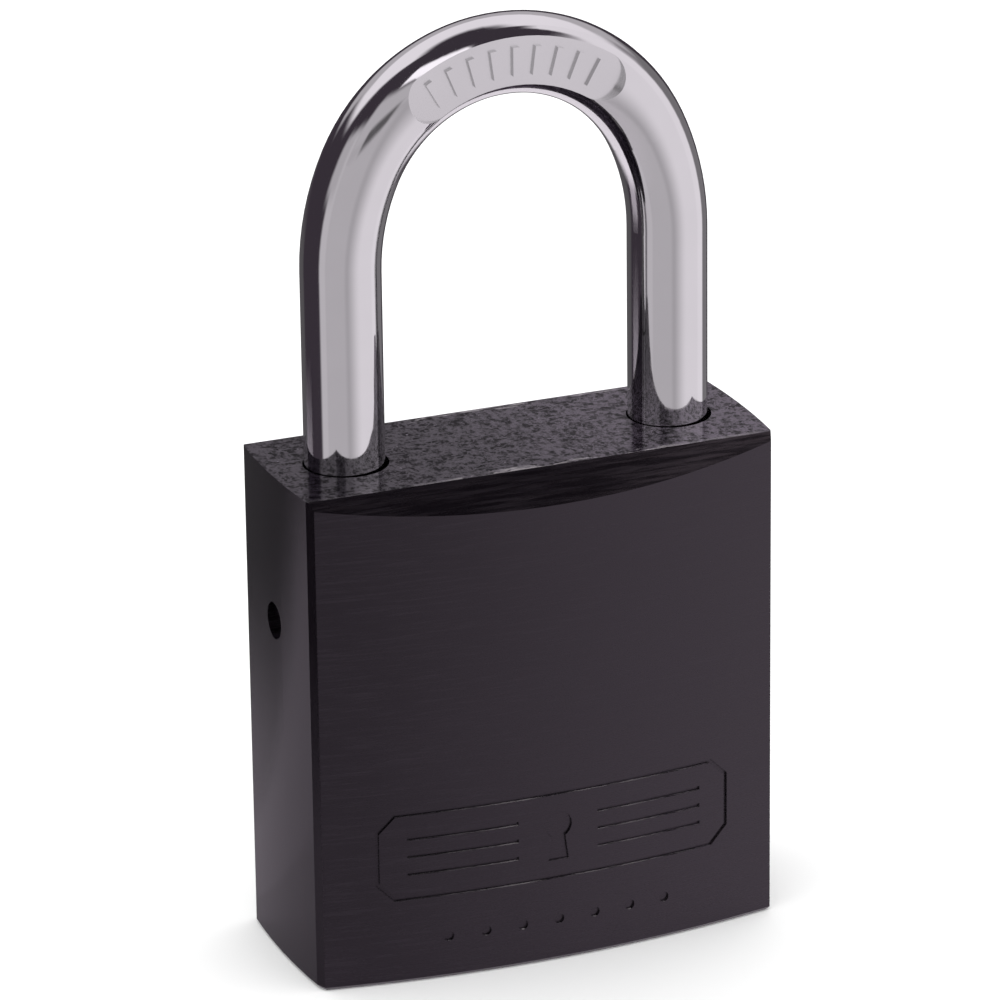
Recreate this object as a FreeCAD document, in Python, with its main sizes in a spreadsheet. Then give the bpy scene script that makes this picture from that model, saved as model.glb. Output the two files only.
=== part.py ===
"""Block-bodied pin tumbler padlock with a round bow shackle.

The lock stands on its base. X runs from the heel leg (left) to the toe leg (right), -Y is the engraved front
and +Z points up. The origin is the middle of the base. All sizes are in millimetres.

It is stored closed, with the plug turned to its open position: the two locking balls are drawn in, so the
shackle is free to rise. Turning the plug by plug_turn_angle drives the balls out into the shackle's notches.
"""
import FreeCAD, Part
import math
import os
import re

import Sketcher

# ---------------------------------------------------------------- driving dimensions

DIMENSIONS = {
    # body block
    "body_width": 39.36,         # between the vertical corners, along X
    "body_depth": 15.56,         # between the vertical corners, along Y
    "body_height": 41.2,
    "side_bulge": 0.32,          # how far each side face swells past its corners
    "face_bulge": 1.92,          # the same for the front and back
    "corner_across": 0.35,       # flat down each vertical corner, along X
    "corner_along": 0.9,         # and along Y
    "base_break": 0.3,           # edge break round the base
    "bevel_angle": 42.8,         # slope of the planar bevels along the top's front and back, from horizontal
    "bevel_inset": 0.63,         # where they start, inside the corners
    # shackle
    "rod_radius": 3.2,
    "half_pitch": 13.8,          # from the middle of the lock to each leg's axis
    "straight_height": 15.8,     # straight leg above the body
    "bow_rise": 15.9,            # height of the bow's centre line above the straight legs
    "crown_radius": 13.2,        # centre line of the bow's top
    "toe_depth": 13.5,           # how far the toe leg enters the body
    "toe_gap": 0.3,              # left under the toe
    "heel_depth": 32.4,
    "rod_clearance": 0.1,
    "mouth_clearance": 0.22,     # wider mouth of each shackle hole
    "mouth_shift": 0.1,          # of its centre, along X
    "mouth_depth": 1.5,
    "toe_chamfer": 0.8,
    "heel_chamfer": 0.5,
    "lift_travel": 14.5,         # of the shackle when it opens
    "recess_floor": 2.5,         # flat of the bow's recess, measured from the rod's axis
    "recess_half_width": 1.95,
    "recess_half_angle": 32.5,   # of the recess's centre line, each side of the top
    "rib_height": 0.3,
    "rib_half_width": 0.28,
    "rib_half_length": 1.15,
    # locking balls and cam
    "ball_radius": 3.0,
    "ball_drop": 7.7,            # ball axis below the top of the body
    "ball_out": 9.1,             # ball centre from the middle when it locks
    "ball_travel": 1.75,
    "channel_clearance": 0.05,
    "notch_clearance": 0.2,
    "cam_gap": 0.12,             # between the cam and a ball
    "cam_half_thickness": 2.6,
    "cam_blunting": 0.27,        # taken off each tip of the oval
    "stem_radius": 2.6,
    "tang_width": 7.0,
    "tang_thickness": 1.9,
    "tang_depth": 3.0,
    "tang_rise": 0.4,            # of the tang's shoulders above the plug
    "stem_gap": 0.1,             # between the stem and the plug
    # shackle retaining pin, pressed into the left side
    "pin_radius": 1.5,
    "pin_height": 28.9,
    "pin_tip": 15.9,             # distance of its tip from the middle of the lock
    "pin_length": 2.8,
    "press_clearance": 0.01,     # of this pin and the chamber plugs in their holes
    "slot_clearance": 0.15,
    "neck_radius": 2.02,         # of the heel leg where the pin lets the raised shackle swing
    # shackle spring
    "spring_floor": 3.2,
    "spring_radius": 2.4,
    "spring_wire": 0.3,
    "spring_turns": 6,
    "spring_gap": 0.02,          # at each end
    # cylinder
    "bore_radius": 6.4,
    "bore_depth": 36.6,
    "housing_radius": 6.35,
    "housing_front": 0.5,        # the cylinder's face sits this far inside the base
    "housing_back": 24.6,
    "bible_reach": 14.6,         # pin side of the housing, from the plug's axis
    "bible_half_width": 2.9,
    "cavity_clearance": 0.05,
    "plug_radius": 4.95,
    "plug_clearance": 0.05,
    "plug_back": 26.2,
    "flange_radius": 5.7,
    "flange_thickness": 1.4,
    "clip_radius": 5.9,
    "clip_thickness": 0.7,
    "clip_groove_radius": 4.2,
    "clip_gap_half": 2.9,
    "clip_clearance": 0.05,      # round the clip in its groove
    "groove_lift": 0.03,         # of the groove above the housing
    "drive_slot_half_width": 1.05,
    "drive_slot_depth": 3.3,
    # keyway, seen along the plug: two overlapping bars
    "key_bar_width": 1.4,
    "key_bar_shift": 0.35,
    "key_low_end": 3.4,          # towards the pins
    "key_high_end": 3.9,
    "key_bar_overlap": 0.5,
    # pin stacks
    "stack_first": 4.4,
    "stack_pitch": 3.8,
    "chamber_radius": 1.35,
    "stack_pin_radius": 1.3,
    "chamber_stop": 1.0,         # inner end of the plug's chambers, from its axis
    "pin_gap": 0.04,             # from a pin's end to the shear line
    "key_pin_cone": 0.9,
    "key_pin_point": 0.5,
    "key_pin_crown": 0.2,        # height of the chamfer at the shear line
    "key_pin_crown_width": 0.5,
    "driver_length": 3.0,
    "driver_waist_radius": 0.95,
    "driver_rim": 0.7,           # from each end to the waist's taper
    "driver_waist_start": 1.0,   # and to the waist itself
    "pin_spring_radius": 0.85,
    "pin_spring_wire": 0.14,
    "pin_spring_turns": 8,
    "chamber_plug_length": 1.5,
    "chamber_plug_inset": 0.05,
    "pin_spring_gap": 0.05,      # at each end
    # cylinder grub screw, reached down the toe hole
    "screw_radius": 1.5,
    "screw_axis": 12.6,
    "screw_bottom": 22.4,
    "screw_top": 27.3,
    "screw_clearance": 0.02,
    "screw_end_gap": 0.1,
    "screw_socket_radius": 0.75,
    "screw_socket_depth": 1.6,
    # engraved front
    "groove_depth": 0.2,
    "groove_half_width": 0.16,
    "frame_half_length": 15.0,
    "frame_half_height": 3.6,
    "frame_corner": 1.4,
    "frame_height": 10.9,
    "bar_inner": 3.4,
    "bar_outer": 12.6,
    "bar_pitch": 1.5,
    "sign_radius": 1.15,         # of the keyhole sign's head
    "sign_head_lift": 0.86,      # of the head above the middle of the frame
    "sign_foot_drop": 2.18,
    "sign_neck_half": 0.46,
    "sign_foot_half": 0.86,
    "dot_radius": 0.42,
    "dot_pitch": 3.1,
    "dot_height": 3.6,
}

KEY_PIN_LENGTHS = (2.6, 3.2, 2.4, 3.0, 2.8)
STACKS = range(1, len(KEY_PIN_LENGTHS) + 1)
RIBS_EACH_SIDE = 4
RIB_STEP_ANGLE = 7.6
DOTS_EACH_SIDE = 3
SOCKET_SIDES = 6
MARGIN = 2.0                     # how far cutting shapes run past what they cut

doc = FreeCAD.newDocument("padlock")
sheet = doc.addObject("Spreadsheet::Sheet", "Dimensions")
for row, (alias, number) in enumerate(DIMENSIONS.items(), start=1):
    sheet.set(f"A{row}", alias)
    sheet.set(f"B{row}", str(number))
    sheet.setAlias(f"B{row}", alias)
doc.recompute()

parts = []                       # the objects that become nodes


# ---------------------------------------------------------------- helpers

def linked(formula):
    """Writes a formula in the sheet's aliases as a FreeCAD expression."""
    return re.sub(r"[a-z]+(?:_[a-z]+)+", lambda word: "Dimensions." + word.group(), str(formula))


def bind(thing, **formulas):
    """Binds properties of an object to formulas in the sheet's aliases."""
    for name, formula in formulas.items():
        thing.setExpression(name.replace("__", "."), linked(formula))
    return thing


def new_body(label):
    body = doc.addObject("PartDesign::Body", label)
    body.Label = label
    return body


def origin_feature(body, role):
    return next(item for item in body.Origin.OriginFeatures if item.Role == role)


def new_sketch(body, name, plane, height=None):
    """A sketch on one of the body's own origin planes, raised along its normal by a formula."""
    sketch = body.newObject("Sketcher::SketchObject", name)
    sketch.AttachmentSupport = [(origin_feature(body, plane + "_Plane"), "")]
    sketch.MapMode = "FlatFace"
    if height is not None:
        sketch.setExpression("AttachmentOffset.Base.z", linked(height))
    return sketch


def present_value(sketch, kind, shape, point):
    if kind == "Radius":
        return sketch.Geometry[shape].Radius
    place = sketch.getPoint(shape, point)
    return place.x if kind == "DistanceX" else place.y


def dimension(sketch, kind, shape, point, formula):
    """Binds the radius of a shape, or the X or Y of one of its points, to a formula."""
    value = present_value(sketch, kind, shape, point)
    where = (shape,) if kind == "Radius" else (-1, 1, shape, point)
    index = sketch.addConstraint(Sketcher.Constraint(kind, *where, value))
    name = f"size_{index}"
    sketch.renameConstraint(index, name)
    sketch.setExpression("Constraints." + name, linked(formula))


def place_point(sketch, shape, point, across, along):
    """Fixes a point of a sketch shape at two formulas. Zero puts it on the sketch's own axis."""
    for kind, formula, axis in (("DistanceX", across, -2), ("DistanceY", along, -1)):
        if formula == 0:
            sketch.addConstraint(Sketcher.Constraint("PointOnObject", shape, point, axis))
        else:
            dimension(sketch, kind, shape, point, formula)


def add_circle(sketch, across, along, radius):
    circle = Part.Circle(FreeCAD.Vector(1, 1, 0), FreeCAD.Vector(0, 0, 1), 1)
    shape = sketch.addGeometry(circle)
    place_point(sketch, shape, 3, across, along)
    dimension(sketch, "Radius", shape, 0, radius)


def add_arc_through(sketch, *points):
    """A rough arc through three points, anticlockwise, which constraints then fix."""
    return sketch.addGeometry(Part.Arc(*(FreeCAD.Vector(*point) for point in points)))


def add_polygon(sketch, corners):
    """A closed outline whose corners are pairs of formulas."""
    count = len(corners)
    rough = [FreeCAD.Vector(math.cos(2 * math.pi * i / count), math.sin(2 * math.pi * i / count), 0)
             for i in range(count)]
    edges = [sketch.addGeometry(Part.LineSegment(rough[i], rough[(i + 1) % count])) for i in range(count)]
    for i, edge in enumerate(edges):
        sketch.addConstraint(Sketcher.Constraint("Coincident", edge, 2, edges[(i + 1) % count], 1))
        place_point(sketch, edge, 1, *corners[i])


def add_box(sketch, left, right, low, high):
    add_polygon(sketch, [(left, low), (right, low), (right, high), (left, high)])


def pad(body, sketch, length, **more):
    feature = body.newObject("PartDesign::Pad", sketch.Name + "_pad")
    feature.Profile = sketch
    bind(feature, Length=length)
    return set_options(feature, more)


def pocket(body, sketch, length, **more):
    feature = body.newObject("PartDesign::Pocket", sketch.Name + "_pocket")
    feature.Profile = sketch
    bind(feature, Length=length)
    return set_options(feature, more)


def set_options(feature, options):
    for name, value in options.items():
        setattr(feature, name, value)
    return feature


def turn(body, sketch, kind, axis="Z_Axis"):
    """Revolves a sketch fully about one of the body's own axes, as a Revolution or a Groove."""
    feature = body.newObject("PartDesign::" + kind, sketch.Name + "_" + kind.lower())
    feature.Profile = sketch
    feature.ReferenceAxis = (origin_feature(body, axis), [""])
    feature.Angle = 360
    return feature


def drill(body, name, across, along, top, radius, depth):
    """A round hole drilled straight down from a height."""
    sketch = new_sketch(body, name, "XY", top)
    add_circle(sketch, across, along, radius)
    return pocket(body, sketch, depth)


def edges_where(shape, test):
    return [f"Edge{i}" for i, edge in enumerate(shape.Edges, start=1) if test(edge)]


def break_edges(body, kind, test, **formulas):
    """Adds a Fillet or Chamfer to the edges of the body's last feature that pass the test."""
    doc.recompute()
    base = body.Tip
    feature = body.newObject("PartDesign::" + kind, body.Name + "_" + kind.lower())
    feature.Base = (base, edges_where(base.Shape, test))
    return bind(feature, **formulas)


def lie_along(part, direction, **where):
    """Turns a piece built along +Z to lie along a direction, and puts it at formulas."""
    part.Placement = FreeCAD.Placement(FreeCAD.Vector(), FreeCAD.Rotation(FreeCAD.Vector(0, 0, 1), direction))
    for axis, formula in where.items():
        part.setExpression(f"Placement.Base.{axis}", linked(formula))
    return part


def finished(part):
    parts.append(part)
    return part


# ---------------------------------------------------------------- places used by several parts

BALL_HEIGHT = "(body_height - ball_drop)"
BALL_REST = "(ball_out - ball_travel)"
HEEL_END = "(body_height - heel_depth)"
TOE_END = "(body_height - toe_depth)"
FACE_END = "(body_width/2 - corner_across)"
SIDE_END = "(body_depth/2 - corner_along)"
BOW_START = "(body_height + straight_height)"
CROWN_CENTRE = "(body_height + straight_height + bow_rise - crown_radius)"
SHOULDER_RADIUS = ("((half_pitch^2 + (bow_rise - crown_radius)^2 - crown_radius^2)"
                   " / (2 * (half_pitch - crown_radius)))")
SHOULDER_ANGLE = f"asin((bow_rise - crown_radius) / ({SHOULDER_RADIUS} - crown_radius))"
CHAMBER_PLUG_START = "(bible_reach - chamber_plug_inset - chamber_plug_length)"
NECK_TOP = "(pin_height - lift_travel + pin_radius + slot_clearance)"
CLIP_HEIGHT = "(housing_back + groove_lift + clip_clearance)"


def stack_height(number):
    return f"stack_first + {number - 1} * stack_pitch"


def bulged_radius(bulge, half_chord):
    """Radius of an arc that swells by bulge over a chord twice as long as half_chord."""
    return f"({bulge}^2 + {half_chord}^2) / (2 * {bulge})"


# ---------------------------------------------------------------- lock body

def add_bulged_outline(sketch):
    """Four convex arcs, joined by a narrow flat across each corner."""
    half_width, half_depth = DIMENSIONS["body_width"] / 2, DIMENSIONS["body_depth"] / 2
    face_end = half_width - DIMENSIONS["corner_across"]
    side_end = half_depth - DIMENSIONS["corner_along"]
    face_middle = half_depth + DIMENSIONS["face_bulge"]
    side_middle = half_width + DIMENSIONS["side_bulge"]
    arcs = []
    for way in (-1, 1):
        face = add_arc_through(sketch, (way * face_end, way * half_depth), (0, way * face_middle),
                               (-way * face_end, way * half_depth))
        place_point(sketch, face, 1, f"{way} * {FACE_END}", f"{way} * body_depth/2")
        place_point(sketch, face, 2, f"{-way} * {FACE_END}", f"{way} * body_depth/2")
        dimension(sketch, "Radius", face, 0, bulged_radius("face_bulge", FACE_END))
        side = add_arc_through(sketch, (-way * half_width, way * side_end), (-way * side_middle, 0),
                               (-way * half_width, -way * side_end))
        place_point(sketch, side, 1, f"{-way} * body_width/2", f"{way} * {SIDE_END}")
        place_point(sketch, side, 2, f"{-way} * body_width/2", f"{-way} * {SIDE_END}")
        dimension(sketch, "Radius", side, 0, bulged_radius("side_bulge", SIDE_END))
        arcs += [face, side]
    for i, arc in enumerate(arcs):
        following = arcs[(i + 1) % len(arcs)]
        flat = sketch.addGeometry(Part.LineSegment(sketch.getPoint(arc, 2), sketch.getPoint(following, 1)))
        sketch.addConstraint(Sketcher.Constraint("Coincident", arc, 2, flat, 1))
        sketch.addConstraint(Sketcher.Constraint("Coincident", flat, 2, following, 1))


def add_bevels(sketch):
    """Both mirror-image wedges that a planar bevel takes off the block's top."""
    reach = f"(face_bulge + bevel_inset + {MARGIN})"
    low = f"body_height - {reach} * tan(bevel_angle)"
    high = f"body_height + {MARGIN}"
    for side in (-1, 1):
        start = f"{side} * (body_depth/2 - bevel_inset)"
        outside = f"{side} * (body_depth/2 - bevel_inset + {reach})"
        add_polygon(sketch, [(start, "body_height"), (outside, low), (outside, high), (start, high)])


def lies_at(height):
    return lambda edge: all(abs(vertex.Z - height) < 1e-6 for vertex in edge.Vertexes)


def make_block():
    """The block with its bulged faces, bevels and bores, before it is engraved."""
    block = new_body("block")
    outline = new_sketch(block, "block_outline", "XY")
    add_bulged_outline(outline)
    pad(block, outline, "body_height")
    bevels = new_sketch(block, "bevels", "YZ")
    add_bevels(bevels)
    pocket(block, bevels, f"body_width + {2 * MARGIN}", SideType="Symmetric")
    break_edges(block, "Chamfer", lies_at(0), Size="base_break")

    for leg, across, depth in (("heel", "-half_pitch", "body_height - spring_floor"),
                               ("toe", "half_pitch", "toe_depth + toe_gap")):
        drill(block, f"{leg}_hole", across, 0, "body_height", "rod_radius + rod_clearance", depth)
        drill(block, f"{leg}_mouth", f"{across} + mouth_shift", 0, "body_height",
              "rod_radius + mouth_clearance", "mouth_depth")
    drill(block, "main_bore", 0, 0, "bore_depth", "bore_radius", f"bore_depth + {MARGIN}")
    drill(block, "screw_hole", "screw_axis", 0, TOE_END, "screw_radius + screw_clearance",
          TOE_END + " - housing_back")

    bible_room = new_sketch(block, "bible_room", "XY", "housing_back + cavity_clearance")
    add_box(bible_room, 0, "bible_reach + cavity_clearance",
            "-(bible_half_width + cavity_clearance)", "bible_half_width + cavity_clearance")
    pocket(block, bible_room, f"housing_back + {MARGIN}")

    channel = new_sketch(block, "ball_channel", "YZ")
    add_circle(channel, 0, BALL_HEIGHT, "ball_radius + channel_clearance")
    pocket(block, channel, "2 * half_pitch", SideType="Symmetric")

    pin_hole = new_sketch(block, "pin_hole", "YZ", "-half_pitch")
    add_circle(pin_hole, 0, "pin_height", "pin_radius + press_clearance")
    pocket(block, pin_hole, "body_width/2")
    return block


def add_clipped_frame(sketch, offset):
    """A rectangle with clipped corners, grown outwards by a formula."""
    long_side = f"(frame_half_length + {offset})"
    short_side = f"(frame_half_height + {offset})"
    clip = f"(frame_corner + (2 - sqrt(2)) * {offset})"
    quarter = [(f"{long_side} - {clip}", short_side), (long_side, f"{short_side} - {clip}")]
    corners = []
    for across, up, order in ((1, 1, 1), (1, -1, -1), (-1, -1, 1), (-1, 1, -1)):
        for x, z in quarter[::order]:
            corners.append((f"{across} * ({x})", f"frame_height + {up} * ({z})"))
    add_polygon(sketch, corners)


def make_engraving():
    """Cutter for the front's engraving: a frame, plain bars, a keyhole sign and a row of dots."""
    cutter = new_body("engraving_outline")
    cutter.AllowCompound = True
    reach = f"body_depth/2 + face_bulge + {MARGIN}"

    frame = new_sketch(cutter, "engraved_frame", "XZ")
    add_clipped_frame(frame, "groove_half_width")
    add_clipped_frame(frame, "-groove_half_width")
    for side in (-1, 1):
        for level in (-1, 0, 1):
            middle = f"frame_height + {level} * bar_pitch"
            near, far = sorted((f"{side} * bar_inner", f"{side} * bar_outer"), reverse=side < 0)
            add_box(frame, near, far, f"{middle} - groove_half_width", f"{middle} + groove_half_width")
    for number in range(-DOTS_EACH_SIDE, DOTS_EACH_SIDE + 1):
        add_circle(frame, f"{number} * dot_pitch" if number else 0, "dot_height", "dot_radius")
    pad(cutter, frame, reach)

    head = new_sketch(cutter, "keyhole_head", "XZ")
    add_circle(head, 0, "frame_height + sign_head_lift", "sign_radius")
    pad(cutter, head, reach)
    skirt = new_sketch(cutter, "keyhole_skirt", "XZ")
    top, base = "frame_height + sign_head_lift", "frame_height - sign_foot_drop"
    add_polygon(skirt, [("-sign_neck_half", top), ("-sign_foot_half", base),
                        ("sign_foot_half", base), ("sign_neck_half", top)])
    pad(cutter, skirt, reach)

    core = doc.addObject("Part::Cylinder", "engraving_core")
    radius = bulged_radius("face_bulge", FACE_END)
    bind(core, Radius=f"{radius} - groove_depth", Height="body_height",
         Placement__Base__y=f"{radius} - body_depth/2 - face_bulge")
    return cut("engraving", cutter, core)


def cut(label, base, tool):
    result = doc.addObject("Part::Cut", label)
    result.Base = base
    result.Tool = tool
    return result


def make_lock_body():
    return finished(cut("lock_body", make_block(), make_engraving()))


# ---------------------------------------------------------------- shackle

def add_arc(sketch, centre, radius, start_angle, end_angle):
    """A rough arc in degrees, which constraints then fix."""
    circle = Part.Circle(FreeCAD.Vector(*centre, 0), FreeCAD.Vector(0, 0, 1), radius)
    return sketch.addGeometry(Part.ArcOfCircle(circle, math.radians(start_angle), math.radians(end_angle)))


def join_smoothly(sketch, *joints):
    for first, first_end, second, second_end in joints:
        sketch.addConstraint(Sketcher.Constraint("Tangent", first, first_end, second, second_end))


def add_leg(shackle, name, across, end):
    """A straight leg, from its end up to the bow."""
    section = new_sketch(shackle, name, "XY", end)
    add_circle(section, across, 0, "rod_radius")
    pad(shackle, section, f"{BOW_START} - {end}")


def bend(shackle, section, axis, angle, **options):
    """Turns a rod section about one of its sketch's axes, and gives one arc of the bow."""
    arc = shackle.newObject("PartDesign::Revolution", section.Name + "_bend")
    arc.Profile = section
    arc.ReferenceAxis = (section, [axis])
    bind(arc, Angle=angle)
    set_options(arc, options)


def add_shoulder(shackle, name, side):
    """The wide arc that leads from a leg into the crown, side being 1 for the toe."""
    section = new_sketch(shackle, name, "XY", BOW_START)
    section.setExpression("AttachmentOffset.Base.x", linked(f"{side} * (half_pitch - {SHOULDER_RADIUS})"))
    add_circle(section, f"{side} * {SHOULDER_RADIUS}", 0, "rod_radius")
    bend(shackle, section, "V_Axis", SHOULDER_ANGLE, Reversed=side > 0)


def add_crown(shackle):
    """The tighter arc over the top, tangent to both shoulders."""
    section = new_sketch(shackle, "crown", "YZ")
    section.setExpression("AttachmentOffset.Base.y", linked(CROWN_CENTRE))
    add_circle(section, 0, "crown_radius", "rod_radius")
    bend(shackle, section, "H_Axis", f"180 deg - 2 * {SHOULDER_ANGLE}", Midplane=True)


def add_curved_slot(sketch):
    """Outline of the bow's recess: a slot with round ends that follows the crown."""
    crown = DIMENSIONS["crown_radius"]
    width = DIMENSIONS["recess_half_width"]
    spread = DIMENSIONS["recess_half_angle"]
    centre = (0, DIMENSIONS["body_height"] + DIMENSIONS["straight_height"] + DIMENSIONS["bow_rise"] - crown)
    outer = add_arc(sketch, centre, crown + width, 90 - spread, 90 + spread)
    inner = add_arc(sketch, centre, crown - width, 90 - spread, 90 + spread)
    caps = []
    for side in (1, -1):
        angle = math.radians(90 - side * spread)
        middle = (crown * math.cos(angle), centre[1] + crown * math.sin(angle))
        first = math.degrees(angle) + (180 if side > 0 else 0)
        caps.append(add_arc(sketch, middle, width, first, first + 180))
        dimension(sketch, "DistanceX", caps[-1], 3, f"{side} * crown_radius * sin(recess_half_angle)")
    right, left = caps
    place_point(sketch, outer, 3, 0, CROWN_CENTRE)
    sketch.addConstraint(Sketcher.Constraint("Coincident", inner, 3, outer, 3))
    dimension(sketch, "Radius", outer, 0, "crown_radius + recess_half_width")
    dimension(sketch, "Radius", inner, 0, "crown_radius - recess_half_width")
    join_smoothly(sketch, (right, 2, outer, 1), (outer, 2, left, 1),
                  (left, 2, inner, 2), (inner, 1, right, 1))


def add_ribs(sketch):
    """Plain short bars across the recess, spread along the crown."""
    for number in range(-RIBS_EACH_SIDE, RIBS_EACH_SIDE + 1):
        angle = number * RIB_STEP_ANGLE
        corners = []
        for along, across in ((1, 1), (-1, 1), (-1, -1), (1, -1)):
            radius = f"(crown_radius + {along} * rib_half_length)"
            shift = f"{across} * rib_half_width"
            corners.append((f"{radius} * sin({angle}) + {shift} * cos({angle})",
                            f"{CROWN_CENTRE} + {radius} * cos({angle}) - {shift} * sin({angle})"))
        add_polygon(sketch, corners)


def make_shackle():
    shackle = new_body("shackle")
    add_leg(shackle, "heel_leg", "-half_pitch", HEEL_END)
    add_shoulder(shackle, "heel_shoulder", -1)
    add_crown(shackle)
    add_shoulder(shackle, "toe_shoulder", 1)
    add_leg(shackle, "toe_leg", "half_pitch", TOE_END)
    break_edges(shackle, "Chamfer", lies_at(DIMENSIONS["body_height"] - DIMENSIONS["toe_depth"]),
                Size="toe_chamfer")
    break_edges(shackle, "Chamfer", lies_at(DIMENSIONS["body_height"] - DIMENSIONS["heel_depth"]),
                Size="heel_chamfer")

    notches = new_sketch(shackle, "ball_notches", "XZ")
    for across, height in (("ball_out", BALL_HEIGHT), ("-ball_out", BALL_HEIGHT),
                           ("-ball_out", BALL_HEIGHT + " - lift_travel")):
        add_circle(notches, across, height, "ball_radius + notch_clearance")
    pocket(shackle, notches, f"2 * rod_radius + {MARGIN}", SideType="Symmetric")

    slot = new_sketch(shackle, "pin_slot", "YZ", "slot_clearance - pin_tip")
    add_box(slot, "-(pin_radius + slot_clearance)", "pin_radius + slot_clearance",
            "pin_height - lift_travel - pin_radius - slot_clearance",
            "pin_height + pin_radius + slot_clearance")
    pocket(shackle, slot, "rod_radius")

    neck = new_sketch(shackle, "swing_neck", "XY", NECK_TOP)
    add_circle(neck, "-half_pitch", 0, f"rod_radius + {MARGIN}")
    add_circle(neck, "-half_pitch", 0, "neck_radius")
    pocket(shackle, neck, "2 * (pin_radius + slot_clearance)")

    recess = new_sketch(shackle, "bow_recess", "XZ", "recess_floor")
    add_curved_slot(recess)
    pocket(shackle, recess, "rod_radius", Reversed=True)
    ribs = new_sketch(shackle, "bow_ribs", "XZ", "recess_floor")
    add_ribs(ribs)
    pad(shackle, ribs, "rib_height")
    return finished(shackle)


# ---------------------------------------------------------------- springs

def make_spring(label, coil_radius, wire_radius, length, turns):
    """A coil spring that stands on its own origin, length being the height of its centre line."""
    spring = new_body(label)
    wire = new_sketch(spring, label + "_wire", "XZ")
    add_circle(wire, coil_radius, 0, wire_radius)
    coil = spring.newObject("PartDesign::AdditiveHelix", label + "_coil")
    coil.Profile = wire
    coil.ReferenceAxis = (origin_feature(spring, "Z_Axis"), [""])
    coil.Mode = "pitch-height-angle"
    bind(coil, Height=length, Pitch=f"({length}) / {turns}")
    return finished(spring)


def make_shackle_spring():
    room = HEEL_END + " - spring_floor - 2 * (spring_wire + spring_gap)"
    spring = make_spring("shackle_spring", "spring_radius", "spring_wire", room, "spring_turns")
    bind(spring, Placement__Base__x="-half_pitch",
         Placement__Base__z="spring_floor + spring_wire + spring_gap")


# ---------------------------------------------------------------- locking balls and their cam

def make_ball(label, side):
    ball = doc.addObject("Part::Sphere", label)
    bind(ball, Radius="ball_radius",
         Placement__Base__x=f"{side} * {BALL_REST}", Placement__Base__z=BALL_HEIGHT)
    return finished(ball)


def make_cam():
    """Oval cam between the balls, on a stem whose tang drops into the plug's slot."""
    cam = new_body("locking_cam")
    width = f"({BALL_REST} - ball_radius - cam_gap)"
    length = "(ball_out - ball_radius - cam_gap + cam_blunting)"
    gap = DIMENSIONS["ball_radius"] + DIMENSIONS["cam_gap"]
    half_width = DIMENSIONS["ball_out"] - DIMENSIONS["ball_travel"] - gap
    half_length = DIMENSIONS["ball_out"] - gap + DIMENSIONS["cam_blunting"]

    oval = new_sketch(cam, "cam_oval", "XY", BALL_HEIGHT)
    halves = []
    for side in (1, -1):
        half = add_arc_through(oval, (0, -side * half_length), (side * half_width, 0),
                               (0, side * half_length))
        dimension(oval, "Radius", half, 0, bulged_radius(width, length))
        halves.append(half)
    right, left = halves
    place_point(oval, right, 1, 0, "-" + length)
    place_point(oval, right, 2, 0, length)
    oval.addConstraint(Sketcher.Constraint("Coincident", right, 2, left, 1))
    oval.addConstraint(Sketcher.Constraint("Coincident", right, 1, left, 2))
    pad(cam, oval, "2 * cam_half_thickness", SideType="Symmetric")
    tips = new_sketch(cam, "cam_tips", "XY", BALL_HEIGHT)
    for side in ("-", ""):
        add_box(tips, "-stem_radius", "stem_radius", f"{side}({length} - cam_blunting)",
                f"{side}({length} + {MARGIN})")
    pocket(cam, tips, f"2 * cam_half_thickness + {MARGIN}", SideType="Symmetric")

    stem_base = "plug_back + stem_gap"
    stem = new_sketch(cam, "cam_stem", "XY", stem_base)
    add_circle(stem, 0, 0, "stem_radius")
    pad(cam, stem, f"{BALL_HEIGHT} - ({stem_base})")
    tang = new_sketch(cam, "cam_tang", "XY", "plug_back - tang_depth")
    add_box(tang, "-tang_width/2", "tang_width/2", "-tang_thickness/2", "tang_thickness/2")
    pad(cam, tang, "tang_depth + tang_rise")
    return finished(cam)


def make_retaining_pin():
    pin = doc.addObject("Part::Cylinder", "shackle_retaining_pin")
    bind(pin, Radius="pin_radius", Height="pin_length")
    lie_along(pin, FreeCAD.Vector(1, 0, 0), x="-(pin_tip + pin_length)", z="pin_height")
    return finished(pin)


# ---------------------------------------------------------------- cylinder

def add_chambers(sketch, across):
    for number in STACKS:
        add_circle(sketch, across, stack_height(number), "chamber_radius")


def make_housing():
    housing = new_body("cylinder_housing")
    length = "housing_back - housing_front"
    barrel = new_sketch(housing, "housing_barrel", "XY", "housing_front")
    add_circle(barrel, 0, 0, "housing_radius")
    pad(housing, barrel, length)
    bible = new_sketch(housing, "housing_bible", "XY", "housing_front")
    add_box(bible, 0, "bible_reach", "-bible_half_width", "bible_half_width")
    pad(housing, bible, length)
    drill(housing, "plug_bore", 0, 0, "housing_back", "plug_radius + plug_clearance", f"{length} + {MARGIN}")
    seat = new_sketch(housing, "flange_seat", "XY", "housing_front")
    add_circle(seat, 0, 0, "flange_radius + plug_clearance")
    pocket(housing, seat, "flange_thickness + plug_clearance", Reversed=True)
    chambers = new_sketch(housing, "housing_chambers", "YZ", "bible_reach")
    add_chambers(chambers, 0)
    pocket(housing, chambers, f"bible_reach - plug_radius + {MARGIN}")
    drill(housing, "housing_screw_hole", "screw_axis", 0, "housing_back", "screw_radius + screw_clearance",
          "housing_back - screw_bottom + screw_end_gap")
    return finished(housing)


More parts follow.
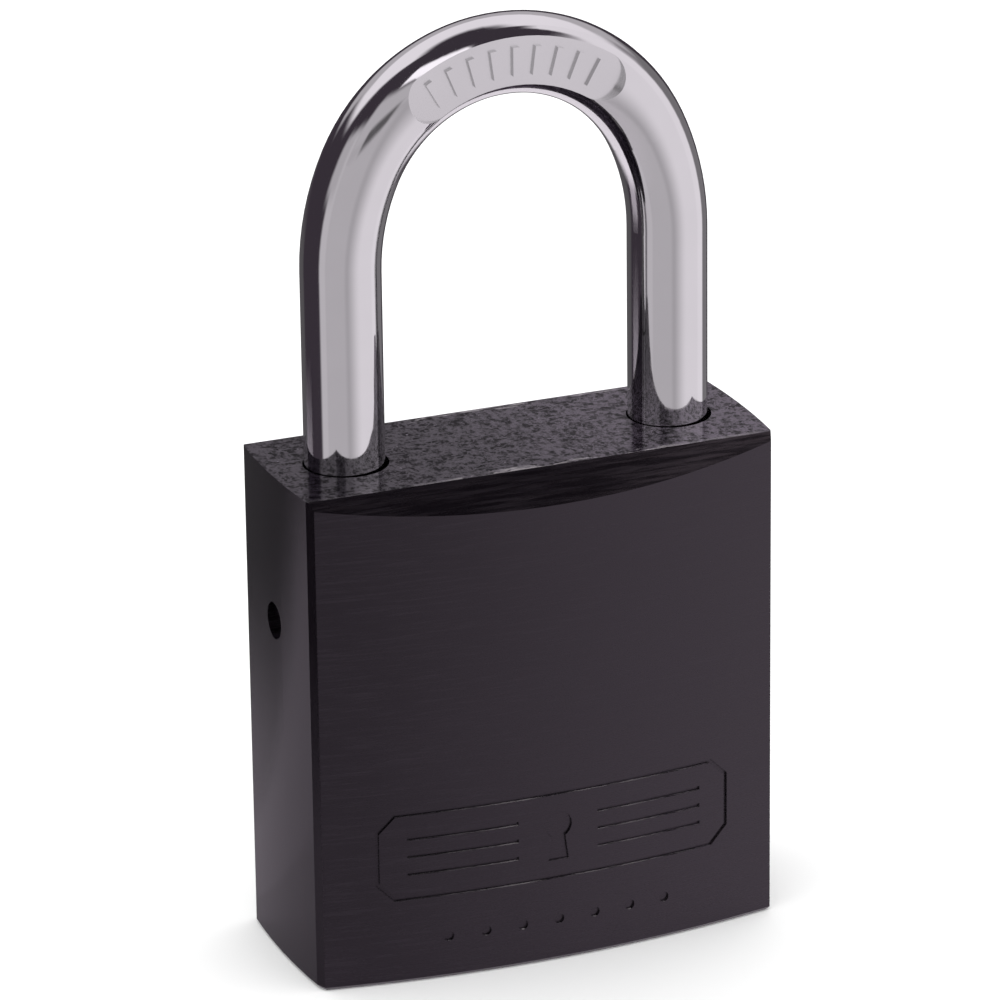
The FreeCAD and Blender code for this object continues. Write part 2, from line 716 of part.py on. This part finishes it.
def make_plug():
    plug = new_body("cylinder_plug")
    barrel = new_sketch(plug, "plug_barrel", "XY", "housing_front")
    add_circle(barrel, 0, 0, "plug_radius")
    pad(plug, barrel, "plug_back - housing_front")
    flange = new_sketch(plug, "plug_flange", "XY", "housing_front")
    add_circle(flange, 0, 0, "flange_radius")
    pad(plug, flange, "flange_thickness")
    groove = new_sketch(plug, "clip_groove", "XY", CLIP_HEIGHT + " + clip_thickness + clip_clearance")
    add_circle(groove, 0, 0, f"plug_radius + {MARGIN}")
    add_circle(groove, 0, 0, "clip_groove_radius")
    pocket(plug, groove, "clip_thickness + 2 * clip_clearance")
    slot = new_sketch(plug, "drive_slot", "XY", "plug_back")
    add_box(slot, f"-(plug_radius + {MARGIN})", f"plug_radius + {MARGIN}",
            "-drive_slot_half_width", "drive_slot_half_width")
    pocket(plug, slot, "drive_slot_depth")

    keyway = new_sketch(plug, "keyway", "XY", "plug_back")
    low_left, low_right = "-(key_bar_width/2 + key_bar_shift)", "key_bar_width/2 - key_bar_shift"
    high_left, high_right = "-(key_bar_width/2 - key_bar_shift)", "key_bar_width/2 + key_bar_shift"
    step_down, step_up = "-key_bar_overlap/2", "key_bar_overlap/2"
    add_polygon(keyway, [(low_left, "-key_low_end"), (low_right, "-key_low_end"), (low_right, step_down),
                         (high_right, step_down), (high_right, "key_high_end"), (high_left, "key_high_end"),
                         (high_left, step_up), (low_left, step_up)])
    pocket(plug, keyway, f"plug_back + {MARGIN}")
    chambers = new_sketch(plug, "plug_chambers", "XZ", f"plug_radius + {MARGIN}")
    add_chambers(chambers, 0)
    pocket(plug, chambers, f"plug_radius + {MARGIN} - chamber_stop")
    return finished(plug)


def make_clip():
    clip = new_body("plug_clip")
    ring = new_sketch(clip, "clip_ring", "XY", CLIP_HEIGHT)
    add_circle(ring, 0, 0, "clip_radius")
    add_circle(ring, 0, 0, "clip_groove_radius + clip_clearance")
    pad(clip, ring, "clip_thickness")
    gap = new_sketch(clip, "clip_gap", "XY", CLIP_HEIGHT + " + clip_thickness")
    add_box(gap, "-clip_gap_half", "clip_gap_half", 0, f"clip_radius + {MARGIN}")
    pocket(clip, gap, "clip_thickness")
    return finished(clip)


def make_screw():
    """Cylinder grub screw with a hexagon socket, its thread left plain."""
    screw = new_body("cylinder_screw")
    shank = new_sketch(screw, "screw_shank", "XY", "screw_bottom")
    add_circle(shank, "screw_axis", 0, "screw_radius")
    pad(screw, shank, "screw_top - screw_bottom")
    socket = new_sketch(screw, "screw_socket", "XY", "screw_top")
    corners = []
    for corner in range(SOCKET_SIDES):
        angle = 360 * corner / SOCKET_SIDES
        corners.append((f"screw_axis + screw_socket_radius * cos({angle})",
                        f"screw_socket_radius * sin({angle})"))
    add_polygon(socket, corners)
    pocket(screw, socket, "screw_socket_depth")
    return finished(screw)


# ---------------------------------------------------------------- pin stacks

def make_turned_pin(label, profile):
    """A pin turned from half its outline, given as pairs of formulas from its axis."""
    pin = new_body(label)
    outline = new_sketch(pin, label + "_profile", "XZ")
    add_polygon(outline, profile)
    turn(pin, outline, "Revolution")
    return finished(pin)


def make_key_pin(number):
    """Plug pin, its rounded end at the shear line and its cone towards the keyway."""
    length = KEY_PIN_LENGTHS[number - 1]
    pin = make_turned_pin(f"key_pin_{number}", [
        (0, 0), ("stack_pin_radius - key_pin_crown_width", 0), ("stack_pin_radius", "key_pin_crown"),
        ("stack_pin_radius", f"{length} - key_pin_cone"), ("key_pin_point", length), (0, length)])
    lie_along(pin, FreeCAD.Vector(0, 1, 0), y="pin_gap - plug_radius", z=stack_height(number))


def make_driver_pin(number):
    """Housing pin with a turned waist."""
    pin = make_turned_pin(f"driver_pin_{number}", [
        (0, 0), ("stack_pin_radius", 0), ("stack_pin_radius", "driver_rim"),
        ("driver_waist_radius", "driver_waist_start"),
        ("driver_waist_radius", "driver_length - driver_waist_start"),
        ("stack_pin_radius", "driver_length - driver_rim"),
        ("stack_pin_radius", "driver_length"), (0, "driver_length")])
    lie_along(pin, FreeCAD.Vector(1, 0, 0), x="plug_radius + pin_gap", z=stack_height(number))


def make_pin_spring(number):
    start = "(plug_radius + pin_gap + driver_length + pin_spring_gap)"
    end = f"({CHAMBER_PLUG_START} - pin_spring_gap)"
    spring = make_spring(f"pin_spring_{number}", "pin_spring_radius", "pin_spring_wire",
                         f"{end} - {start} - 2 * pin_spring_wire", "pin_spring_turns")
    lie_along(spring, FreeCAD.Vector(1, 0, 0), x=f"{start} + pin_spring_wire", z=stack_height(number))


def make_chamber_plug(number):
    plug = doc.addObject("Part::Cylinder", f"chamber_plug_{number}")
    bind(plug, Radius="chamber_radius - press_clearance", Height="chamber_plug_length")
    lie_along(plug, FreeCAD.Vector(1, 0, 0), x=CHAMBER_PLUG_START, z=stack_height(number))
    finished(plug)


# ---------------------------------------------------------------- the whole lock

make_lock_body()
make_shackle()
make_shackle_spring()
make_ball("heel_ball", -1)
make_ball("toe_ball", 1)
make_cam()
make_retaining_pin()
make_housing()
make_plug()
make_clip()
make_screw()
for stack in STACKS:
    make_key_pin(stack)
    make_driver_pin(stack)
    make_pin_spring(stack)
    make_chamber_plug(stack)
doc.recompute()

faults = [f"{item.Label}: {', '.join(item.State)}" for item in doc.Objects
          if {"Invalid", "Error"} & set(item.State)]
faults += [f"{part.Label}: bad shape" for part in parts if part.Shape.isNull() or not part.Shape.isValid()]
if faults:
    raise SystemExit("The model did not rebuild:\n" + "\n".join(faults))

os.makedirs("parts", exist_ok=True)
for part in parts:
    part.Shape.exportStep(f"parts/{part.Label}.step")
    box = part.Shape.BoundBox
    print(f"{part.Label:24} {len(part.Shape.Solids)} solid  {part.Shape.Volume:10.2f} mm3  "
          f"x {box.XMin:7.2f} {box.XMax:7.2f}  y {box.YMin:7.2f} {box.YMax:7.2f}  "
          f"z {box.ZMin:7.2f} {box.ZMax:7.2f}")
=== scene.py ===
"""Looks, light and camera for the block-bodied padlock.

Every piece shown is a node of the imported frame. This script gives each one its finish, then sets up the
camera, the floor and the studio round it. Lengths are in metres and angles in degrees, in the frame's own
axes: the lock stands on its base, -Y is the engraved front and X runs from the heel leg to the toe leg.
"""

import math

import bpy
from mathutils import Euler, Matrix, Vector


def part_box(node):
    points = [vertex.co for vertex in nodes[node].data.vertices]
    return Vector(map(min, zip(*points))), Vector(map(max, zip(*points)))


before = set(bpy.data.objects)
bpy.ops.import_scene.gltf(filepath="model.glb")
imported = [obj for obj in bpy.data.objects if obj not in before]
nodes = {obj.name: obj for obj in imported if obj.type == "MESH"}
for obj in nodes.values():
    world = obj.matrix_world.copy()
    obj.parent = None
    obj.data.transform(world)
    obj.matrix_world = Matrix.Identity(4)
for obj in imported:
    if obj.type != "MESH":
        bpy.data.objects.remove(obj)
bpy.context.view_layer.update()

MM = 0.001
MICRON = 1e-6
TO_DEGREES = 180 / math.pi

# ---------------------------------------------------------------- places read from the frame

body_low, body_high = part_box("lock_body")
shackle_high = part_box("shackle")[1]
HEEL_SIDE = body_low.x
TOE_SIDE = body_high.x
ROD_RADIUS = shackle_high.y
CROWN_RADIUS = 13.2 * MM     # of the bow's middle line over the top
CROWN_HEIGHT = shackle_high.z - ROD_RADIUS - CROWN_RADIUS


# ---------------------------------------------------------------- node helpers

class Graph:
    """A material's or a world's node tree, written as calls."""

    def __init__(self, owner):
        owner.use_nodes = True
        self.tree = owner.node_tree
        self.tree.nodes.clear()
        self.column = 0

    def add(self, kind, **settings):
        node = self.tree.nodes.new(kind)
        self.column += 1
        node.location = (self.column % 12 * 180, -(self.column // 12) * 260)
        for name, value in settings.items():
            setattr(node, name, value)
        return node

    def put(self, value, socket):
        """Links value if it is a socket, or else sets it."""
        if isinstance(value, bpy.types.NodeSocket):
            self.tree.links.new(value, socket)
        else:
            socket.default_value = value

    def math(self, operation, a, b=0.0, clamp=False):
        node = self.add("ShaderNodeMath", operation=operation, use_clamp=clamp)
        self.put(a, node.inputs[0])
        self.put(b, node.inputs[1])
        return node.outputs[0]

    def ramp(self, value, low, high, at_low=0.0, at_high=1.0, kind="SMOOTHSTEP"):
        """Goes from at_low to at_high as value goes from low to high."""
        node = self.add("ShaderNodeMapRange", interpolation_type=kind)
        for socket, given in zip(node.inputs, (value, low, high, at_low, at_high)):
            self.put(given, socket)
        return node.outputs[0]

    def split(self, vector):
        node = self.add("ShaderNodeSeparateXYZ")
        self.put(vector, node.inputs[0])
        return node.outputs

    def join(self, x, y, z):
        node = self.add("ShaderNodeCombineXYZ")
        for given, socket in zip((x, y, z), node.inputs):
            self.put(given, socket)
        return node.outputs[0]

    def stretched(self, vector, scale):
        """The vector with each axis multiplied by its own scale."""
        node = self.add("ShaderNodeVectorMath", operation="MULTIPLY")
        self.put(vector, node.inputs[0])
        node.inputs[1].default_value = scale
        return node.outputs[0]

    def length(self, vector):
        node = self.add("ShaderNodeVectorMath", operation="LENGTH")
        self.put(vector, node.inputs[0])
        return node.outputs["Value"]

    def noise(self, vector, scale=1.0, detail=2.0, roughness=0.5):
        node = self.add("ShaderNodeTexNoise")
        self.put(vector, node.inputs["Vector"])
        node.inputs["Scale"].default_value = scale
        node.inputs["Detail"].default_value = detail
        node.inputs["Roughness"].default_value = roughness
        return node.outputs["Fac"]

    def mix(self, share, a, b):
        """Goes from colour a at share 0 to colour b at share 1."""
        node = self.add("ShaderNodeMix", data_type="RGBA")
        self.put(share, node.inputs["Factor"])
        self.put(a, node.inputs[6])
        self.put(b, node.inputs[7])
        return node.outputs[2]

    def blend(self, share, a, b):
        """Goes from number a at share 0 to number b at share 1."""
        node = self.add("ShaderNodeMix", data_type="FLOAT")
        self.put(share, node.inputs["Factor"])
        self.put(a, node.inputs[2])
        self.put(b, node.inputs[3])
        return node.outputs[0]

    def bump(self, height, depth, strength):
        node = self.add("ShaderNodeBump")
        node.inputs["Strength"].default_value = strength
        self.put(depth, node.inputs["Distance"])
        self.put(height, node.inputs["Height"])
        return node.outputs[0]

    def place(self):
        """Object coordinates, which stay with the piece when its body moves."""
        return self.add("ShaderNodeTexCoord").outputs["Object"]

    def facing(self):
        """The surface's own direction in the piece's axes."""
        return self.add("ShaderNodeTexCoord").outputs["Normal"]


def patch(g, value, low, high, soft):
    """1 where value lies between low and high, fading to 0 over soft each side."""
    middle = (low + high) / 2
    half = (high - low) / 2
    offset = g.math("SUBTRACT", value, middle)
    turned = g.add("ShaderNodeMath", operation="WRAP")
    for given, socket in zip((offset, 180.0, -180.0), turned.inputs):
        g.put(given, socket)
    return g.ramp(g.math("ABSOLUTE", turned.outputs[0]), half - soft / 2, half + soft / 2, 1.0, 0.0)


def bearing_of(g, way):
    """Degrees from -Y, positive towards +X, of a split vector."""
    return g.math("MULTIPLY", g.math("ARCTAN2", way[0], g.math("MULTIPLY", way[1], -1.0)), TO_DEGREES)


def rgb(red, green, blue):
    return (red, green, blue, 1.0)


def new_material(slot):
    """A fresh material and its graph, with a Principled shader wired to the output."""
    material = bpy.data.materials.new(slot)
    graph = Graph(material)
    shader = graph.add("ShaderNodeBsdfPrincipled")
    output = graph.add("ShaderNodeOutputMaterial")
    graph.tree.links.new(shader.outputs[0], output.inputs[0])
    return material, graph, shader.inputs


# ---------------------------------------------------------------- black anodised body

EDGE_START = (7.35 * MM, 7.60 * MM)      # distance from the middle at which the top's edge turns lighter
EDGE_WANDER = 1.2 * MM                   # how much nearer the middle it can get
EDGE_FADES_IN = (-13 * MM, -2 * MM)      # along X, from the heel side
EDGE_FADES_OUT = (8 * MM, 14 * MM)
BEVEL_LIGHTENS = (-2 * MM, 19 * MM)
TOP_LIGHTENS = (-8 * MM, 19 * MM)
TOP_SHINES = (-10 * MM, 19 * MM)
TOP_RELIEF = 13 * MICRON                 # depth of the finish's bumps
BEVEL_RELIEF = 5 * MICRON
FACE_RELIEF = 1.6 * MICRON
DYE_TINT = rgb(1.0, 0.87, 1.02)
TOP_TINT = rgb(0.97, 0.79, 1.06)
PLAIN_SHINE = 0.5


def thin_lines(g, value, width):
    """Thin winding lines, where a noise passes through its middle."""
    return g.ramp(g.math("ABSOLUTE", g.math("SUBTRACT", value, 0.5)), 0.0, width, 1.0, 0.0)


def faces_dye_and_painted_light(g, x, cloud, brushed, sideways):
    """Colour of the upright faces, with light from the toe side painted in, so they turn lighter towards it.
    The sides aren't brushed.
    """
    # Painted light: the faces are coloured lighter towards the toe side and darker towards the heel side,
    # standing in for light falling from the toe side.
    painted_light_toward_toe = g.ramp(x, HEEL_SIDE, TOE_SIDE, kind="LINEAR")
    shade = g.mix(painted_light_toward_toe, rgb(0.0008, 0.0005, 0.0009), rgb(0.0088, 0.0070, 0.0086))
    shade = g.mix(g.ramp(cloud, 0.35, 0.75, 0.0, 0.22), shade, rgb(0.0078, 0.0061, 0.0080))
    lines = g.mix(g.ramp(brushed, 0.48, 0.74, 0.0, 0.36), shade, rgb(0.0125, 0.0098, 0.0130))
    return g.mix(sideways, lines, shade)


def streaked_bevel(g, x, streaks):
    """Colour of the bevels: near black, with lighter streaks towards the toe side."""
    dark = g.mix(g.ramp(streaks, 0.45, 0.72), rgb(0.0015, 0.0011, 0.0016), rgb(0.0070, 0.0056, 0.0068))
    # A lighter streaked colour, taken on towards the toe side.
    toward_toe = g.mix(g.ramp(streaks, 0.40, 0.62), rgb(0.0060, 0.0047, 0.0056), rgb(0.0260, 0.0205, 0.0240))
    return g.mix(g.ramp(x, *BEVEL_LIGHTENS, 0.0, 0.9), dark, toward_toe)


def light_edge_line(g, place, xyz):
    """Share of a lighter, ragged line along the top's front and back edges, most of it in the middle."""
    wander = g.ramp(g.noise(g.stretched(place, (230, 900, 0)), detail=4, roughness=0.7), 0.34, 0.66)
    ragged = g.ramp(g.noise(g.stretched(place, (260, 1500, 0)), detail=4, roughness=0.75), 0.34, 0.62)
    reach = g.math("ADD", g.math("ABSOLUTE", xyz[1]), g.math("MULTIPLY", wander, EDGE_WANDER))
    edge = g.math("MULTIPLY", g.ramp(reach, *EDGE_START), g.math("MULTIPLY", ragged, 0.8))
    edge = g.math("MULTIPLY", edge, g.ramp(xyz[0], *EDGE_FADES_IN, 0.1, 1.0))
    return g.math("MULTIPLY", edge, g.ramp(xyz[0], *EDGE_FADES_OUT, 1.0, 0.3))


def sawn_top(g, place, xyz, swirls, sawn):
    """Colour and shine of the top: swirls, saw lines and flecks, lighter towards the toe side."""
    arcs = g.noise(g.stretched(place, (650, 800, 650)), detail=2, roughness=0.5)
    speckle = g.noise(place, scale=1500, detail=3, roughness=0.75)
    marks = g.math("MULTIPLY", thin_lines(g, arcs, 0.030), 0.9)
    marks = g.math("MAXIMUM", marks, g.ramp(swirls, 0.38, 0.68))
    marks = g.math("MAXIMUM", marks, g.ramp(sawn, 0.54, 0.74))
    light = g.mix(g.ramp(xyz[0], *TOP_LIGHTENS), rgb(0.010, 0.008, 0.012), rgb(0.050, 0.041, 0.054))
    shade = g.mix(marks, rgb(0.0030, 0.0022, 0.0035), light)
    shade = g.mix(g.ramp(speckle, 0.66, 0.78), shade, rgb(0.14, 0.12, 0.15))
    shade = g.mix(light_edge_line(g, place, xyz), shade, rgb(0.29, 0.265, 0.28))
    # Shinier towards the toe side.
    toward_toe = g.ramp(xyz[0], *TOP_SHINES, 0.28, 0.78)
    return shade, g.math("MULTIPLY", toward_toe, g.ramp(marks, 0.0, 1.0, 0.10, 1.95))


def anodised_body():
    """Dyed oxide: brushed faces, smooth sides, streaked bevels, and a rough sawn top."""
    material, g, shader = new_material("anodised_body")
    place = g.place()
    xyz = g.split(place)
    normal = g.split(g.facing())
    upward = g.ramp(normal[2], 0.9, 0.99)
    sloping = g.ramp(g.math("ABSOLUTE", normal[2]), 0.3, 0.6)
    sideways = g.ramp(g.math("ABSOLUTE", normal[0]), 0.5, 0.8)
    cloud = g.noise(place, scale=90, detail=4, roughness=0.6)
    brushed = g.noise(g.stretched(place, (200, 200, 5200)), detail=3, roughness=0.65)
    streaks = g.noise(g.stretched(place, (160, 3000, 3000)), detail=3, roughness=0.65)
    swirls = g.noise(g.stretched(place, (2100, 1500, 2100)), detail=3, roughness=0.7)
    sawn = g.noise(g.stretched(place, (260, 2600, 260)), detail=3, roughness=0.6)

    faces = faces_dye_and_painted_light(g, xyz[0], cloud, brushed, sideways)
    top, shine = sawn_top(g, place, xyz, swirls, sawn)
    around = g.mix(sloping, faces, streaked_bevel(g, xyz[0], streaks))
    g.put(g.mix(upward, around, top), shader["Base Color"])
    g.put(g.blend(upward, PLAIN_SHINE, shine), shader["Specular IOR Level"])
    g.put(g.mix(upward, DYE_TINT, TOP_TINT), shader["Specular Tint"])

    rough_faces = g.blend(sideways, g.ramp(brushed, 0.35, 0.65, 0.20, 0.32), 0.17)
    rough_top = g.ramp(swirls, 0.35, 0.65, 0.08, 0.16)
    g.put(g.blend(upward, rough_faces, rough_top), shader["Roughness"])

    face_relief = g.blend(sloping, g.blend(sideways, brushed, cloud), streaks)
    relief = g.blend(upward, face_relief, g.blend(0.5, swirls, sawn))
    depth = g.blend(upward, g.blend(sloping, FACE_RELIEF, BEVEL_RELIEF), TOP_RELIEF)
    g.put(g.bump(relief, depth, strength=0.8), shader["Normal"])
    shader["IOR"].default_value = 1.50
    return material


# ---------------------------------------------------------------- chrome shackle

RECESS_FLOOR = -3.0 * MM     # Y of the flat floor of the bow's recess
SHARP = 0.05 * MM


def chrome_shackle():
    """Polished chrome, drawn along the legs, with a duller floor in the bow's recess."""
    material, g, shader = new_material("chrome_shackle")
    place = g.place()
    xyz = g.split(place)
    normal = g.split(g.facing())
    drawn = g.noise(g.stretched(place, (2600, 2600, 40)), detail=3, roughness=0.6)
    haze = g.noise(place, scale=160, detail=3)
    pits = g.noise(place, scale=3000, detail=2, roughness=0.7)

    in_bow = g.ramp(xyz[2], CROWN_HEIGHT - MM, CROWN_HEIGHT)
    flat = g.ramp(normal[1], -0.99, -0.96, 1.0, 0.0)
    sunk = g.ramp(xyz[1], RECESS_FLOOR - SHARP, RECESS_FLOOR + SHARP)
    recess = g.math("MULTIPLY", g.math("MULTIPLY", flat, sunk), in_bow)

    g.put(g.mix(haze, rgb(0.72, 0.725, 0.72), rgb(0.80, 0.805, 0.80)), shader["Base Color"])
    polished = g.ramp(drawn, 0.3, 0.7, 0.035, 0.085)
    g.put(g.blend(recess, polished, 0.24), shader["Roughness"])
    height = g.blend(recess, drawn, pits)
    g.put(g.bump(height, 1.2 * MICRON, strength=0.25), shader["Normal"])
    shader["Metallic"].default_value = 1.0
    return material


# ---------------------------------------------------------------- brass and steel inside

RING_SCALE = 7000


def turned_metal(slot, dark, light, low_rough, high_rough):
    """A metal turned about Z: rings across its ends and round its sides, over a mottled colour."""
    material, g, shader = new_material(slot)
    place = g.place()
    reach = g.length(g.stretched(place, (1, 1, 0)))
    rings = g.noise(g.join(reach, g.split(place)[2], 0.0), scale=RING_SCALE, detail=2)
    stain = g.noise(place, scale=420, detail=4, roughness=0.65)
    g.put(g.mix(g.ramp(stain, 0.3, 0.7), dark, light), shader["Base Color"])
    g.put(g.ramp(rings, 0.3, 0.7, low_rough, high_rough), shader["Roughness"])
    g.put(g.bump(rings, 2 * MICRON, strength=0.3), shader["Normal"])
    shader["Metallic"].default_value = 1.0
    return material


FINISHES = {
    "anodised_body": anodised_body(),
    "chrome_shackle": chrome_shackle(),
    "housing_brass": turned_metal("housing_brass", rgb(0.50, 0.34, 0.13), rgb(0.66, 0.47, 0.20), 0.26, 0.42),
    "plug_brass": turned_metal("plug_brass", rgb(0.58, 0.41, 0.17), rgb(0.74, 0.55, 0.26), 0.18, 0.34),
    "pin_brass": turned_metal("pin_brass", rgb(0.56, 0.40, 0.18), rgb(0.72, 0.54, 0.28), 0.16, 0.30),
    "pin_steel": turned_metal("pin_steel", rgb(0.34, 0.33, 0.33), rgb(0.48, 0.47, 0.46), 0.28, 0.44),
    "ball_steel": turned_metal("ball_steel", rgb(0.55, 0.55, 0.56), rgb(0.64, 0.64, 0.65), 0.08, 0.16),
    "spring_steel": turned_metal("spring_steel", rgb(0.30, 0.29, 0.29), rgb(0.42, 0.41, 0.40), 0.24, 0.38),
}
for node in nodes.values():
    for place in node.material_slots:
        place.material = FINISHES[place.material.name.split(".")[0]]

# ---------------------------------------------------------------- camera

VIEW_AZIMUTH = -22.15        # degrees from the front, with the heel side nearer
VIEW_ELEVATION = 20.74
VIEW_ROLL = -0.724
VIEW_DISTANCE = 506.1 * MM
VIEW_TARGET = Vector((-0.71, 0, 36.04)) * MM
LENS = 229.9                 # in millimetres, like the sensor's width
SENSOR = 36.0
NEAREST_SEEN = 0.01
FURTHEST_SEEN = 50


def aim_camera():
    turn, tilt, roll = (math.radians(a) for a in (VIEW_AZIMUTH, VIEW_ELEVATION, VIEW_ROLL))
    back = Vector((math.sin(turn) * math.cos(tilt), -math.cos(turn) * math.cos(tilt), math.sin(tilt)))
    data = bpy.data.cameras.new("camera")
    data.sensor_width = SENSOR
    data.lens = LENS
    data.clip_start = NEAREST_SEEN
    data.clip_end = FURTHEST_SEEN
    camera = bpy.data.objects.new("camera", data)
    camera.rotation_mode = "QUATERNION"
    level = back.to_track_quat("Z", "Y")
    camera.rotation_quaternion = level @ Euler((0, 0, roll)).to_quaternion()
    camera.location = VIEW_TARGET + back * VIEW_DISTANCE
    bpy.context.scene.collection.objects.link(camera)
    bpy.context.scene.camera = camera


aim_camera()

# ---------------------------------------------------------------- floor

FLOOR_SIDE = 6.0
FLOOR_GAP = 0.01 * MM        # keeps the floor's face off the base's

# Polished metal sees the floor itself within NEAR_FLOOR, and only the studio past FAR_FLOOR. LIT_FLOOR is a
# stretch behind the heel side that it sees further out: bearings from and to, and softness, in degrees.
NEAR_FLOOR = 25 * MM
FAR_FLOOR = 97 * MM
NEAR_SHARE = 0.36
FRONT_SHARE = 0.10
FRONT_FADE = 15 * MM
LIT_FLOOR = (-141, -117, 7)
LIT_REACH = (95 * MM, 160 * MM)
LIT_SHARE = 0.42


def floor_share(g, place):
    """How much of the floor polished metal sees at a place, from 0 to 1."""
    spot = g.split(place)
    reach = g.length(place)
    nearest = g.ramp(spot[1], body_low.y - FRONT_FADE, body_low.y, FRONT_SHARE, NEAR_SHARE)
    near = g.math("MULTIPLY", nearest, g.ramp(reach, NEAR_FLOOR, FAR_FLOOR, 1.0, 0.0))
    bearings = patch(g, bearing_of(g, spot), *LIT_FLOOR)
    lit = g.math("MULTIPLY", bearings, g.ramp(reach, *LIT_REACH, LIT_SHARE, 0.0))
    return g.math("MAXIMUM", near, lit)


def white_floor():
    """Plain white, which polished metal sees darker and only near the lock."""
    material, g, shader = new_material("studio_floor")
    place = g.place()
    mirrored = g.add("ShaderNodeLightPath").outputs["Is Glossy Ray"]
    white = g.mix(g.noise(place, scale=9), rgb(0.955, 0.955, 0.955), rgb(0.965, 0.965, 0.965))
    g.put(g.mix(mirrored, white, rgb(0.765, 0.685, 0.775)), shader["Base Color"])
    shader["Roughness"].default_value = 0.9
    shader["Specular IOR Level"].default_value = 0.0

    output = next(n for n in g.tree.nodes if n.bl_idname == "ShaderNodeOutputMaterial").inputs[0]
    mixed = g.add("ShaderNodeMixShader")
    g.put(g.math("MULTIPLY", mirrored, g.math("SUBTRACT", 1.0, floor_share(g, place))), mixed.inputs[0])
    g.put(output.links[0].from_socket, mixed.inputs[1])
    g.put(g.add("ShaderNodeBsdfTransparent").outputs[0], mixed.inputs[2])
    g.put(mixed.outputs[0], output)
    return material


def lay_floor():
    half = FLOOR_SIDE / 2
    corners = [(-half, -half, 0), (half, -half, 0), (half, half, 0), (-half, half, 0)]
    mesh = bpy.data.meshes.new("studio_floor")
    mesh.from_pydata(corners, [], [(0, 1, 2, 3)])
    mesh.materials.append(white_floor())
    floor = bpy.data.objects.new("studio_floor", mesh)
    floor.location.z = body_low.z - FLOOR_GAP
    bpy.context.scene.collection.objects.link(floor)


lay_floor()

# ---------------------------------------------------------------- studio light

# The cards and softboxes round the lock, as polished metal sees them. Each is a soft-edged patch of the sky:
# name, bearings from and to, elevations from and to, softness across and up (all in degrees) and brightness.
# A bearing is measured from the front (-Y), positive towards +X, and a patch covers the ones before it.
STUDIO = (
    ("back wall", 92, 246, 29, 71, 12, 12, 0.92),
    ("back wall, low", 112, 212, 13, 34, 14, 6, 0.50),
    ("far floor", 138, 212, -34, -10, 12, 12, 0.10),
    ("table", -180, 180, -90, -36, 10, 10, 0.85),
    ("front wall", -79, 92, -90, 34, 9, 9, 0.41),
    ("front wall, left half", -66, -8, -90, 18, 14, 10, 0.52),
    ("front wall, left edge", -83, -64, -90, 30, 8, 8, 0.58),
    ("front wall, left flap", -92, -70, 6, 30, 10, 10, 0.48),
    ("front wall, upper left", -64, 10, 20, 47, 10, 10, 0.52),
    ("front wall, right", 12, 100, -90, 42, 48, 18, 0.83),
    ("overhead softbox", -46, 8, 50, 63, 5, 5, 1.25),
    ("right card", 74, 97, -60, 62, 8, 8, 0.88),
    ("right flag", 98, 130, -30, 17, 8, 8, 0.20),
    ("behind the lens", -44, -18, 16, 26, 7, 7, 0.12),
)
DARK = rgb(0.046, 0.036, 0.048)     # where no patch is
LIGHT_TINT = (1.0, 0.935, 1.01)
FILL_LIGHT = 1.38                   # what anything but polished metal sees all round


def light_world():
    """The studio as the sky: its patches for mirrored rays, and an even light for the others."""
    world = bpy.data.worlds.new("studio")
    world.cycles.sampling_method = "NONE"
    bpy.context.scene.world = world
    g = Graph(world)
    way = g.split(g.add("ShaderNodeTexCoord").outputs["Generated"])
    bearing = bearing_of(g, way)
    elevation = g.math("MULTIPLY", g.math("ARCSINE", way[2]), TO_DEGREES)
    seen = DARK
    for _, left, right, low, high, soft_across, soft_up, brightness in STUDIO:
        share = patch(g, elevation, low, high, soft_up)
        if right - left < 360:
            share = g.math("MULTIPLY", share, patch(g, bearing, left, right, soft_across))
        seen = g.mix(share, seen, rgb(*(brightness * part for part in LIGHT_TINT)))
    path = g.add("ShaderNodeLightPath")
    shown = g.mix(path.outputs["Is Glossy Ray"], rgb(FILL_LIGHT, FILL_LIGHT, FILL_LIGHT), seen)
    background = g.add("ShaderNodeBackground")
    g.put(shown, background.inputs["Color"])
    output = g.add("ShaderNodeOutputWorld")
    g.tree.links.new(background.outputs[0], output.inputs[0])


light_world()
bpy.context.scene.view_settings.view_transform = "Standard"
